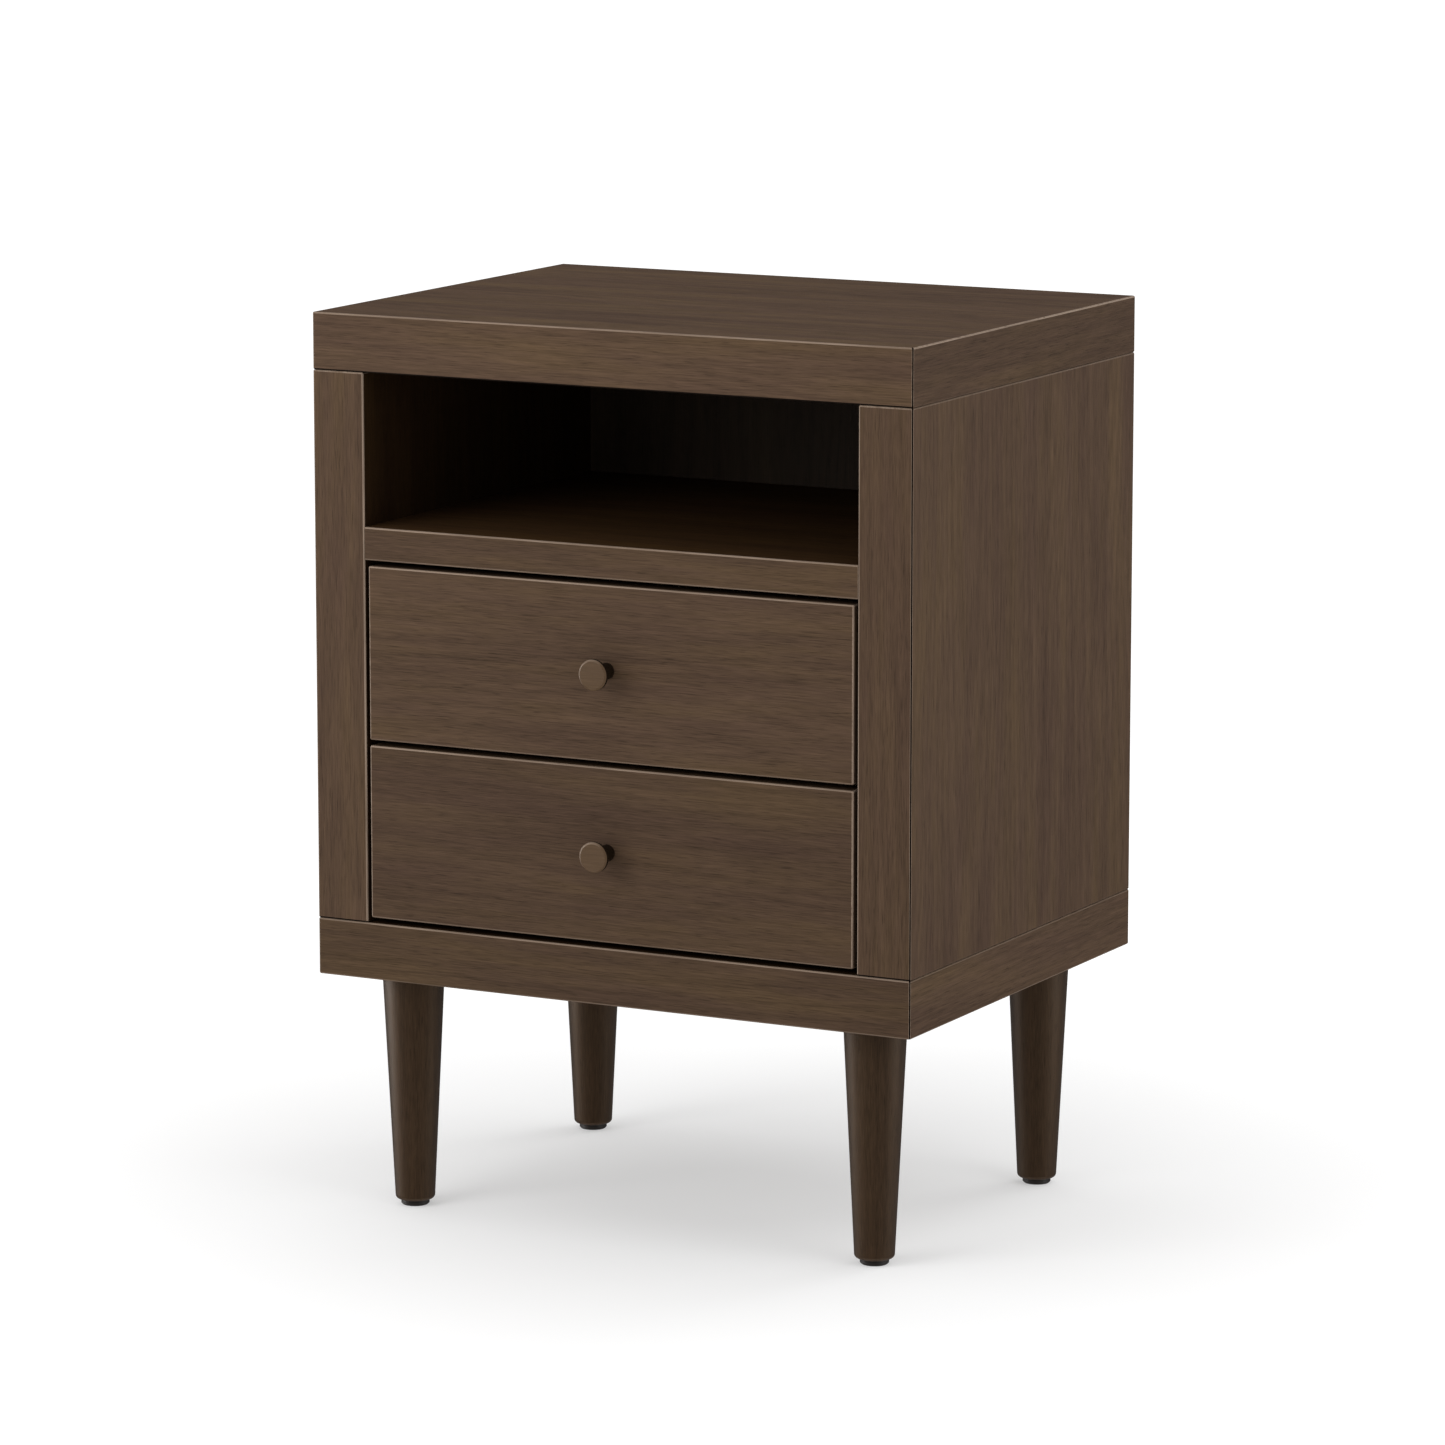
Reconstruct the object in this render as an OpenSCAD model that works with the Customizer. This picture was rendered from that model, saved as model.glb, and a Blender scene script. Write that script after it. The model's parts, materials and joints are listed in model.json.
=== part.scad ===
// Two-drawer nightstand with an open cubby, on four turned legs.
// Millimetres. +Z is up, the front faces -Y, and the origin is on the floor
// at the centre of the footprint, knobs included.

/* [Case] */
// Width of the case
case_w = 460; // [430:1:520]
// Depth of the case, without the knobs
case_d = 355; // [350:1:420]
// Thickness of the top, side and base panels
panel_t = 40; // [36:1:44]
// Thickness of the shelf over the drawers
shelf_t = 23; // [18:1:30]
// Clear height of the open cubby
cubby_h = 107; // [80:1:160]
// Chamfer on the edges of the visible panels
edge_ease = 0.4; // [0.3:0.1:1.5]

/* [Back] */
// Thickness of the back panel
back_t = 6; // [4:0.5:9]
// How far the back panel sits in from the rear edges
back_recess = 25; // [12:1:28]
// Depth of the grooves that hold the back panel
back_groove = 8; // [5:1:12]

/* [Drawers] */
// Height of a drawer front
front_h = 121.5; // [118:0.5:140]
// Thickness of a drawer front
front_t = 18; // [16:1:20]
// Gap above, between and below the drawer fronts
gap_v = 4; // [3:0.5:5]
// Gap at each side of a drawer front
gap_h = 3; // [2:0.5:4]
// Height of the drawer box
box_h = 92; // [88:1:100]
// Thickness of the drawer box's sides, front and back
box_t = 12; // [11:0.5:13]
// Thickness of the drawer bottom
bottom_t = 5; // [4:0.5:5.5]

/* [Knobs] */
// Diameter of the knob's face
knob_d = 21.5; // [20:0.5:30]
// Distance from the drawer front to the knob's face
knob_out = 21; // [15:1:26]
// Diameter of the knob where it meets the drawer
knob_root_d = 11.5; // [11:0.5:16]
// Height of the knob's middle above the middle of the drawer front
knob_up = 2; // [0:0.5:10]

/* [Legs] */
// Height of the base above the floor
leg_h = 170; // [140:1:220]
// Diameter of a leg where it meets the base
leg_top_d = 44; // [38:1:50]
// Diameter of a leg at its foot
leg_foot_d = 28; // [24:1:32]
// Leg's axis, in from the side of the case
leg_in_x = 49; // [40:1:60]
// Leg's axis, in from the front or the rear of the case
leg_in_y = 47; // [40:1:60]
// Diameter of the foot glide
glide_d = 20; // [16:1:22]
// Height of the foot glide
glide_h = 4; // [3:0.5:6]

/* [Hidden] */
// Heights, from the floor up
base_top = leg_h + panel_t;
bay_h = 2 * front_h + 3 * gap_v;
shelf_z = base_top + bay_h;
shelf_top = shelf_z + shelf_t;
top_z = shelf_top + cubby_h;
total_h = top_z + panel_t;

// Case, in plan
front_y = (knob_out - case_d) / 2;
rear_y = front_y + case_d;
inner_w = case_w - 2 * panel_t;
back_y = rear_y - back_recess - back_t;

// Clearances: a pin in its bore, a panel in its groove, past the end of a blind bore,
// and how far a cut runs out of the solid
fit = 0.05;
slip = 0.1;
past = 0.5;
cut = 1;

// Drawers
front_w = inner_w - 2 * gap_h;
runner_gap = 13;
box_w = inner_w - 2 * runner_gap;
box_y = front_y + front_t;
box_rear_gap = 6;
box_l = back_y - box_y - box_rear_gap;
box_drop = 12;
bottom_lift = 10;
bottom_groove = 6;
tails = 4;
tail_pitch = box_h / tails;
tail_wide = 0.65 * tail_pitch;
tail_narrow = tail_wide - box_t / 3;

// Ball-bearing runners, in a section of u away from the case's side and v up
runner_l = box_l;
runner_h = 35;
runner_rise = 40;
runner_start = 2;
steel = 1.2;
travel = 0.75 * runner_l;
ball_r = 2;
race_r = ball_r + slip;
race_wall = race_r + steel;
race_open = 1;
ball_u = 6.5;
ball_v = runner_h / 2 - race_wall;
cage_t = 1;
cage_web_t = 0.8;
cage_web_u = 1.9;
cage_edge_u = 9.3;
cage_end = 2.5;
cage_spare = 4;
cage_l = runner_l - travel - 2 * cage_end - cage_spare;
cage_y = runner_start + travel / 2 + cage_end;
cage_h = 2 * ball_v + cage_t;
balls_per_row = 4;
tab_h = 16;
tab_u = 10.5;
bumper_t = 2.5;
bumper_h = 24.8;
bumper_u = 3.5;
bumper_w = 7.5;
stop_gap = 0.2;

// Fasteners
dowel_r = 4;
dowel_l = 40;
dowel_edge = 1;
screw_r = 1.75;
screw_head_r = 3.2;
screw_head_h = 1.7;
screw_point = 2.5;
case_screw_l = 16;
drawer_screw_l = 10;
front_screw_l = 25;
recess_w = 0.8;
recess_depth = 1.1;
knob_screw_r = 2;
knob_screw_play = 0.25;
knob_screw_grip = 8;
knob_screw_head_r = 4;
knob_screw_head_h = 2.2;
bolt_r = 4;
bolt_up = 28;
bolt_down = 38;
bolt_point = 6;
insert_r = 6;
insert_h = 20;
insert_flange_r = 8.5;
insert_flange_h = 1.2;
nail_r = 1.25;
nail_l = 12;
nail_point = 2;

// Where the fasteners go
dowel_y = [front_y + 50, (front_y + rear_y) / 2, rear_y - 60];
shelf_dowel_y = [front_y + 55, (front_y + back_y) / 2, back_y - 55];
runner_screw_y = [for (share = [0.12, 0.5, 0.88]) runner_start + share * runner_l];
front_screw_x = 120;
front_screw_share = [0.27, 0.73];

// Turned pieces: rounding at a leg's foot, and the knob's rim and its chamfer
foot_round = 3;
knob_rim = 3;
knob_chamfer = 1.2;
arc_step = 15;

// Facets of a full circle: turned pieces, rods, and screws and balls
turned_fn = 96;
rod_fn = 48;
small_fn = 32;

// Colours
WALNUT = [0.345, 0.278, 0.227];
WALNUT_DARK = [0.251, 0.200, 0.157];
KNOB_BROWN = [0.353, 0.290, 0.235];
BEECH = [0.78, 0.66, 0.50];
PLY = [0.70, 0.58, 0.43];
ZINC = [0.74, 0.75, 0.77];
BALL_STEEL = [0.85, 0.86, 0.88];
BLACK = [0.09, 0.09, 0.09];

LEVELS = ["upper", "lower"];
HANDS = ["left", "right"];
ENDS = ["front", "back"];
DRAWER_PARTS = ["drawer_front", "box_front", "box_back", "box_left_side", "box_right_side", "drawer_bottom",
    "knob", "knob_screw", "front_screws", "left_drawer_runner", "right_drawer_runner", "drawer_runner_screws"];
CAGE_PARTS = ["left_ball_cage", "right_ball_cage", "left_balls", "right_balls"];

// ---- Shared shapes ----

// A rectangle from the origin with its four corners cut off.
module eased_rect(w, h, e) {
    polygon([[e, 0], [w - e, 0], [w, e], [w, h - e], [w - e, h], [e, h], [0, h - e], [0, e]]);
}

// A board from lo to hi with a chamfer on every edge.
module eased_board(lo, hi) {
    s = hi - lo;
    translate(lo) intersection() {
        linear_extrude(s.z) eased_rect(s.x, s.y, edge_ease);
        translate([0, s.y, 0]) rotate([90, 0, 0]) linear_extrude(s.y) eased_rect(s.x, s.z, edge_ease);
        rotate([90, 0, 90]) linear_extrude(s.x) eased_rect(s.y, s.z, edge_ease);
    }
}

// A square-edged board from lo to hi.
module board(lo, hi) {
    translate(lo) cube(hi - lo);
}

// A section in x and z, pushed along +Y.
module along_y(l) {
    translate([0, l, 0]) rotate([90, 0, 0]) linear_extrude(l) children();
}

// A rod along +Z from the origin.
module rod(r, l) {
    cylinder(r = r, h = l, $fn = rod_fn);
}

// The cross recess of a screw whose head's face is at z = 0 and whose shank runs along +Z.
module cross_recess(w) {
    for (a = [0, 90]) rotate(a) translate([-w / 2, -recess_w / 2, -cut]) cube([w, recess_w, cut + recess_depth]);
}

// The outline of a countersunk screw, turned about Z. With room, it is the hole for one.
module screw_shape(l, room) {
    end = room > 0 ? l + past : l;
    rotate_extrude($fn = small_fn) polygon([[0, 0], [screw_head_r + room, 0], [screw_r + room, screw_head_h],
        [screw_r + room, l - screw_point], [screw_r / 4 + room, end], [0, end]]);
}

// A countersunk wood screw with its head's flat face at the origin, driven along +Z.
module wood_screw(l) {
    difference() {
        screw_shape(l, 0);
        cross_recess(screw_head_r);
    }
}

module screw_hole(l) {
    screw_shape(l, fit);
}

// ---- Places ----

function level_z(level) = base_top + gap_v + (level == "upper" ? front_h + gap_v : 0);
function box_z(level) = level_z(level) + box_drop;
function knob_z(level) = level_z(level) + front_h / 2 + knob_up;
function runner_z(level) = box_z(level) + runner_rise;

// Children drawn for the left-hand side, or mirrored to the right.
module on_hand(hand) {
    if (hand == "left") children();
    else mirror([1, 0, 0]) children();
}

// The runner's own frame: x is u from the case's side, y is back from the box's front, z is v up.
module in_runner(level, hand) {
    on_hand(hand) translate([-inner_w / 2, box_y, runner_z(level)]) children();
}

module at_legs() {
    for (x = [-1, 1], y = [front_y + leg_in_y, rear_y - leg_in_y])
        translate([x * (case_w / 2 - leg_in_x), y, leg_h]) children();
}

module at_side_dowels(z) {
    for (x = [-1, 1], y = dowel_y) translate([x * (case_w - panel_t) / 2, y, z]) children();
}

module at_shelf_dowels() {
    for (x = [-1, 1], y = shelf_dowel_y)
        translate([x * inner_w / 2, y, shelf_z + shelf_t / 2]) rotate([0, 90, 0]) children();
}

// Screws from a runner's web at u, outwards into the case's side.
module at_cabinet_screws() {
    for (y = runner_screw_y) translate([steel, y, 0]) rotate([0, -90, 0]) children();
}

// Screws from a runner's web into the drawer box's side.
module at_drawer_screws() {
    for (y = runner_screw_y) translate([runner_gap - steel, y, 0]) rotate([0, 90, 0]) children();
}

module at_front_screws(level) {
    for (x = [-1, 1] * front_screw_x, share = front_screw_share)
        translate([x, box_y + box_t, box_z(level) + share * box_h]) rotate([90, 0, 0]) children();
}

// The knob screw's seat on the inside of the drawer, looking along the screw.
module at_knob_screw(level) {
    translate([0, box_y + box_t, knob_z(level)]) rotate([90, 0, 0]) children();
}

// ---- Holes ----

module dowel_hole() {
    translate([0, 0, -dowel_l / 2 - past]) rod(dowel_r + fit, dowel_l + 2 * past);
}

module back_panel_groove() {
    board([-inner_w / 2 - back_groove, back_y - slip, base_top - back_groove],
        [inner_w / 2 + back_groove, back_y + back_t + slip, top_z + back_groove]);
}

module knob_screw_hole(level, r) {
    at_knob_screw(level) translate([0, 0, -cut]) rod(r, box_t + front_t + knob_screw_grip + past + cut);
}

// ---- Case ----

module top_panel() {
    color(WALNUT) difference() {
        eased_board([-case_w / 2, front_y, top_z], [case_w / 2, rear_y, total_h]);
        at_side_dowels(top_z) dowel_hole();
        back_panel_groove();
    }
}

module side_panel(hand) {
    color(WALNUT) difference() {
        on_hand(hand) eased_board([-case_w / 2, front_y, base_top], [-inner_w / 2, rear_y, top_z]);
        at_side_dowels(top_z) dowel_hole();
        at_side_dowels(base_top) dowel_hole();
        at_shelf_dowels() dowel_hole();
        back_panel_groove();
        for (l = LEVELS) in_runner(l, hand) at_cabinet_screws() screw_hole(case_screw_l);
    }
}

module base_panel() {
    color(WALNUT) difference() {
        eased_board([-case_w / 2, front_y, leg_h], [case_w / 2, rear_y, base_top]);
        at_side_dowels(base_top) dowel_hole();
        back_panel_groove();
        at_legs() translate([0, 0, -cut]) rod(insert_r + fit, insert_h + cut + fit);
        at_legs() translate([0, 0, -cut]) rod(insert_flange_r + fit, insert_flange_h + cut + fit);
        at_legs() rod(bolt_r + fit, bolt_up + past);
    }
}

module cubby_shelf() {
    color(WALNUT) difference() {
        eased_board([-inner_w / 2, front_y, shelf_z], [inner_w / 2, back_y, shelf_top]);
        at_shelf_dowels() dowel_hole();
    }
}

module back_panel() {
    reach = back_groove - 2 * slip;
    color(WALNUT_DARK) board([-inner_w / 2 - reach, back_y, base_top - reach],
        [inner_w / 2 + reach, back_y + back_t, top_z + reach]);
}

// A dowel with eased ends, centred on the origin along Z.
module dowel() {
    half = dowel_l / 2;
    color(BEECH) rotate_extrude($fn = rod_fn) polygon([[0, -half], [dowel_r - dowel_edge, -half],
        [dowel_r, dowel_edge - half], [dowel_r, half - dowel_edge], [dowel_r - dowel_edge, half], [0, half]]);
}

// ---- Legs ----

// A turned leg, tapered to a rounded foot.
module leg(end, hand) {
    x = case_w / 2 - leg_in_x;
    y = end == "front" ? front_y + leg_in_y : rear_y - leg_in_y;
    r = leg_foot_d / 2 - foot_round;
    color(WALNUT_DARK) translate([hand == "left" ? -x : x, y, 0]) difference() {
        rotate_extrude($fn = turned_fn) polygon(concat(
            [[0, glide_h]],
            [for (a = [0:arc_step:90]) [r + foot_round * sin(a), glide_h + foot_round * (1 - cos(a))]],
            [[leg_top_d / 2, leg_h], [0, leg_h]]));
        translate([0, 0, leg_h - bolt_down - past]) rod(bolt_r + fit, bolt_down + past + cut);
        translate([0, 0, glide_h - cut]) rod(nail_r + fit, nail_l + cut + past);
    }
}

// A nail-on glide under a leg: a round pad with a nail up into the foot.
module foot_glide() {
    r = glide_d / 2;
    tip = glide_h + nail_l;
    color(BLACK) translate([0, 0, -leg_h]) rotate_extrude($fn = turned_fn) polygon([[0, 0], [r - 1, 0],
        [r, 1], [r, glide_h], [nail_r, glide_h], [nail_r, tip - nail_point], [0, tip]]);
}

// A hanger bolt: machine thread up into the insert nut, wood thread down into the leg.
module hanger_bolt() {
    waist = bolt_r - 0.6;
    color(ZINC) rotate_extrude($fn = rod_fn) polygon([[0, -bolt_down], [bolt_r, bolt_point - bolt_down],
        [bolt_r, -6], [waist, -5], [waist, -2], [bolt_r, -1], [bolt_r, bolt_up - 1], [bolt_r - 1, bolt_up],
        [0, bolt_up]]);
}

// A flanged insert nut for the bolt, flush with the base's underside.
module insert_nut() {
    color(ZINC) difference() {
        union() {
            rod(insert_r, insert_h);
            rod(insert_flange_r, insert_flange_h);
        }
        translate([0, 0, -cut]) rod(bolt_r + fit, insert_h + 2 * cut);
    }
}

// ---- Ball-bearing runners ----

// The upper half of a channel's lips: its flange and its share of the ball race.
module cabinet_lip() {
    lip = ball_v + race_open;
    intersection() {
        translate([ball_u, ball_v]) circle(r = race_wall, $fn = rod_fn);
        translate([0, lip]) square(runner_h);
    }
    translate([0, ball_v + race_r - slip]) square([ball_u, steel]);
}

module drawer_lip() {
    lip = ball_v - race_open;
    intersection() {
        translate([ball_u, ball_v]) circle(r = race_wall, $fn = rod_fn);
        translate([0, lip - runner_h]) square(runner_h);
    }
    translate([ball_u, ball_v - race_wall + slip]) square([runner_gap - ball_u, steel]);
}

// A channel's whole section: its web from u, of half height h, and the lips drawn as children.
module channel(u, h) {
    difference() {
        union() {
            translate([u, -h]) square([steel, 2 * h]);
            for (m = [0, 1]) mirror([0, m]) children();
        }
        for (side = [-1, 1]) translate([ball_u, side * ball_v]) circle(r = race_r, $fn = rod_fn);
    }
}

// The case's half of a runner, with a bent tab at its rear end.
module cabinet_runner(level, hand) {
    color(ZINC) in_runner(level, hand) difference() {
        translate([0, runner_start, 0]) union() {
            along_y(runner_l) channel(0, ball_v + race_wall - slip) cabinet_lip();
            board([steel / 2, runner_l - steel, -tab_h / 2], [tab_u, runner_l, tab_h / 2]);
        }
        at_cabinet_screws() screw_hole(case_screw_l);
    }
}

// The rubber pad on the tab, where the drawer's half comes to rest.
module runner_bumper(level, hand) {
    y = runner_start + runner_l - steel - bumper_t;
    color(BLACK) in_runner(level, hand)
        board([bumper_u, y, -bumper_h / 2], [bumper_u + bumper_w, y + bumper_t, bumper_h / 2]);
}

// The drawer's half of a runner.
module drawer_runner(level, hand) {
    l = runner_l - steel - bumper_t - stop_gap;
    color(ZINC) in_runner(level, hand) difference() {
        translate([0, runner_start, 0])
            along_y(l) channel(runner_gap - steel, ball_v - race_r + slip) drawer_lip();
        at_drawer_screws() screw_hole(drawer_screw_l);
    }
}

function ball_y(i) = cage_y + cage_l * (i + 0.5) / balls_per_row;

// The strip that keeps the balls apart, bent round behind both ball races.
module ball_cage(level, hand) {
    half = cage_h / 2;
    color(ZINC) in_runner(level, hand) difference() {
        board([cage_web_u, cage_y, -half], [cage_edge_u, cage_y + cage_l, half]);
        board([cage_web_u + cage_web_t, cage_y - cut, cage_t - half],
            [cage_edge_u + cut, cage_y + cage_l + cut, half - cage_t]);
        for (i = [0:balls_per_row - 1]) translate([ball_u, ball_y(i), -half - cut]) rod(race_r, cage_h + 2 * cut);
    }
}

module balls(level, hand) {
    color(BALL_STEEL) in_runner(level, hand)
        for (i = [0:balls_per_row - 1], side = [-1, 1]) translate([ball_u, ball_y(i), side * ball_v])
            sphere(r = ball_r, $fn = small_fn);
}

module cabinet_runner_screws(level, hand) {
    color(ZINC) in_runner(level, hand) at_cabinet_screws() wood_screw(case_screw_l);
}

module drawer_runner_screws(level, hand) {
    color(ZINC) in_runner(level, hand) at_drawer_screws() wood_screw(drawer_screw_l);
}

// ---- Drawers ----

// The dovetails at the front end of a left-hand side, wider at the end that shows.
module dovetails() {
    for (i = [0:tails - 1]) translate([0, 0, (i + 0.5) * tail_pitch]) rotate([90, 0, 90]) linear_extrude(box_t)
        polygon([[0, -tail_wide / 2], [box_t, -tail_narrow / 2], [box_t, tail_narrow / 2], [0, tail_wide / 2]]);
}

// The dovetails at both ends of a left-hand side, in place.
module side_dovetails(level) {
    translate([-box_w / 2, box_y, box_z(level)]) dovetails();
    translate([-box_w / 2, box_y + box_l, box_z(level)]) mirror([0, 1, 0]) dovetails();
}

// The drawer bottom, held in grooves all round. With room, it is the space of the grooves.
module bottom_shape(level, room) {
    inset = box_t - bottom_groove - room;
    z = box_z(level) + bottom_lift;
    board([inset - box_w / 2, box_y + inset, z - room],
        [box_w / 2 - inset, box_y + box_l - inset, z + bottom_t + room]);
}

module box_side(level, hand) {
    color(BEECH) difference() {
        on_hand(hand) union() {
            board([-box_w / 2, box_y + box_t, box_z(level)],
                [-box_w / 2 + box_t, box_y + box_l - box_t, box_z(level) + box_h]);
            side_dovetails(level);
        }
        bottom_shape(level, slip);
        in_runner(level, hand) at_drawer_screws() screw_hole(drawer_screw_l);
    }
}

// The front or the back of the drawer box, between y and y + box_t.
module box_end(level, y) {
    color(BEECH) difference() {
        board([-box_w / 2, y, box_z(level)], [box_w / 2, y + box_t, box_z(level) + box_h]);
        for (h = HANDS) on_hand(h) side_dovetails(level);
        bottom_shape(level, slip);
        at_front_screws(level) screw_hole(front_screw_l);
        knob_screw_hole(level, knob_screw_r + knob_screw_play);
    }
}

module drawer_bottom(level) {
    color(PLY) bottom_shape(level, 0);
}

module drawer_front(level) {
    color(WALNUT) difference() {
        eased_board([-front_w / 2, front_y, level_z(level)], [front_w / 2, box_y, level_z(level) + front_h]);
        at_front_screws(level) screw_hole(front_screw_l);
        knob_screw_hole(level, knob_screw_r + knob_screw_play);
    }
}

module front_screws(level) {
    color(ZINC) at_front_screws(level) wood_screw(front_screw_l);
}

// A round knob: a flat face with a small chamfer, a short rim, and a waist that narrows to the drawer.
module knob(level) {
    r = knob_d / 2;
    root = knob_root_d / 2;
    color(KNOB_BROWN) difference() {
        translate([0, front_y, knob_z(level)]) rotate([90, 0, 0]) rotate_extrude($fn = turned_fn) polygon(concat(
            [[0, 0]],
            [for (a = [0:arc_step:90]) [r - (r - root) * cos(a), (knob_out - knob_rim) * sin(a)]],
            [[r, knob_out - knob_chamfer], [r - knob_chamfer, knob_out], [0, knob_out]]));
        knob_screw_hole(level, knob_screw_r + fit);
    }
}

// A pan-head machine screw from inside the drawer into the knob.
module knob_screw(level) {
    color(ZINC) at_knob_screw(level) difference() {
        union() {
            rod(knob_screw_r, box_t + front_t + knob_screw_grip);
            translate([0, 0, -knob_screw_head_h]) rod(knob_screw_head_r, knob_screw_head_h);
        }
        translate([0, 0, -knob_screw_head_h]) cross_recess(knob_screw_head_r);
    }
}

// ---- Nodes ----

top_panel();
side_panel("left");  // left_side_panel
side_panel("right");  // right_side_panel
base_panel();
cubby_shelf();
back_panel();
at_side_dowels(top_z) dowel();  // top_dowels
at_side_dowels(base_top) dowel();  // base_dowels
at_shelf_dowels() dowel();  // shelf_dowels
at_legs() hanger_bolt();  // leg_hanger_bolts
at_legs() insert_nut();  // leg_insert_nuts
at_legs() foot_glide();  // foot_glides
for (e = ENDS, h = HANDS)
    leg(e, h);
for (l = LEVELS, h = HANDS) {
    cabinet_runner(l, h);
    cabinet_runner_screws(l, h);
    runner_bumper(l, h);  // runner_bumpers
    drawer_runner(l, h);
    drawer_runner_screws(l, h);
    ball_cage(l, h);
    balls(l, h);
    box_side(l, h);
}
for (l = LEVELS) {
    drawer_front(l);
    box_end(l, box_y);
    box_end(l, box_y + box_l - box_t);
    drawer_bottom(l);
    knob(l);
    knob_screw(l);
    front_screws(l);
}
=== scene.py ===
"""A walnut nightstand with an open cubby and two drawers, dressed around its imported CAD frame.

Metres, in the frame's own axes: +X to the right, +Y to the back, +Z up, and the drawers open along -Y.
The veneered boards, the turned legs and knobs and the dovetailed boxes are built here as finer meshes.
The runners, screws, bolts and other hardware are the frame's own nodes with better materials.
"""
import json
import math

import bmesh
import bpy
import numpy as np
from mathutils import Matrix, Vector


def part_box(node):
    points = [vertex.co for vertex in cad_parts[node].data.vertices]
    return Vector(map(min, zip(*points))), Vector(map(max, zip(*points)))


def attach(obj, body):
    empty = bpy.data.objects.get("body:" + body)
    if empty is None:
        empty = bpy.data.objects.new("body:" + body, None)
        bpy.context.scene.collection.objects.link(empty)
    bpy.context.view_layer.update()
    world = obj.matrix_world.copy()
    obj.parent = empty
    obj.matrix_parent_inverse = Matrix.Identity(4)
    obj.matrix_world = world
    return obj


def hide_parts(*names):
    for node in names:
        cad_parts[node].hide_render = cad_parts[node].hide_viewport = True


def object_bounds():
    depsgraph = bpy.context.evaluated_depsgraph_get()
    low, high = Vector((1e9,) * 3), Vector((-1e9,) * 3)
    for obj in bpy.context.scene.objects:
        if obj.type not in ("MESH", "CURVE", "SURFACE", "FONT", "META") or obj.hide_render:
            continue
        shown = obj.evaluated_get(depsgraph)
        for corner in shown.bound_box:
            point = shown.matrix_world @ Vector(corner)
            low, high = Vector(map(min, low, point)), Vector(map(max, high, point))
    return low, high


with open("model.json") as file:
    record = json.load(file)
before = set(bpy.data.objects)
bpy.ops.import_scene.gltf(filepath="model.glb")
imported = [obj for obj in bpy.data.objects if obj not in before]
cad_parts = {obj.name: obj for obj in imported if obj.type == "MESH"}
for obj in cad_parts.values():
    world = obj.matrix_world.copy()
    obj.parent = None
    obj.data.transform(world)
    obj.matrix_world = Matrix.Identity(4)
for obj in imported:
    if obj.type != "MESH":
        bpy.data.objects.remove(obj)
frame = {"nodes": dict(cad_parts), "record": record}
cad_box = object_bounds()

MM = 0.001
X, Y, Z = 0, 1, 2
LEVELS = ["upper", "lower"]
HANDS = ["left", "right"]
ENDS = ["front", "back"]
BODY_OF = {node: body for body, nodes in frame["record"]["behaviour"]["bodies"].items() for node in nodes}
SLOT_OF = {part["node"]: part["material_slot"] for part in frame["record"]["subparts"]}
MIDDLE = (cad_box[0] + cad_box[1]) / 2

# Rounded edges of the boards, the beech boxes and the back board, the steps in one, and the angle from
# which an edge is shaded as a hard one
BOARD_EDGE = 1.1 * MM
BOX_EDGE = 0.4 * MM
BACK_EDGE = 0.3 * MM
EDGE_STEPS = 3
SHARP = math.radians(38)
# Repair of meshes: corners of a CAD node this near are one, faces this flat to each other are one, and
# edges this short after a cut are none
WELD = 0.002 * MM
FLAT = math.radians(0.5)
SLIVER = 0.005 * MM
# The seam down each front corner of the case, where two veneers meet, as (depth along the diagonal, half
# the width) from outside the corner to the seam's floor
SEAM = [(-2.0 * MM, 0.58 * MM), (1.0 * MM, 0.52 * MM), (3.0 * MM, 0.35 * MM)]
# Turned pieces. All that is in a leg lies within LEG_REACH of its axis. A knob flares from its root to its
# rim, and its chamfer runs KNOB_CHAMFER in over the face and KNOB_CHAMFER_RISE back down the rim
TURNED_SEGMENTS = 128
LEG_FOOT_D = 28 * MM
FOOT_ROUND = 3 * MM
FOOT_STEPS = 8
LEG_TOP_EDGE = 0.5 * MM
LEG_REACH = 25 * MM
BORE_FIT = 0.05 * MM
NAIL_R = 1.25 * MM
KNOB_ROOT_D = 11.5 * MM
KNOB_FLARE_STEPS = 18
KNOB_RIM = 3 * MM
KNOB_CHAMFER = 1.2 * MM
KNOB_CHAMFER_RISE = 1.0 * MM
KNOB_EDGE = 0.3 * MM
KNOB_SCREW_R = 2 * MM

# Shades of the faces that differ from the rest of their piece, as (tone, 1 where the face is rougher and
# takes a warm tint of painted bounce light). All but the last are painted light and shade: painted shade on
# the flat, the upright and the shelf's faces that look into the case, the top painted lighter, the side
# edges of the top painted darker, the sides of the case and the side edges of the base painted lighter, and
# painted shade on the waist and rim of a knob. The last is the darker end grain of beech
INSIDE_PAINTED_SHADE = (0.42, 1)
INSIDE_WALL_PAINTED_SHADE = (0.25, 1)
SHELF_TOP_PAINTED_SHADE = (0.62, 1)
TOP_FACE_PAINTED_LIGHT = (1.38, 0)
TOP_SIDE_EDGE_PAINTED_SHADE = (0.88, 0)
CASE_SIDE_PAINTED_LIGHT = (1.14, 0)
BASE_SIDE_EDGE_PAINTED_LIGHT = (1.26, 0)
KNOB_SIDE_PAINTED_SHADE = (0.15, 0)
END_GRAIN = (0.78, 0)
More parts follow.
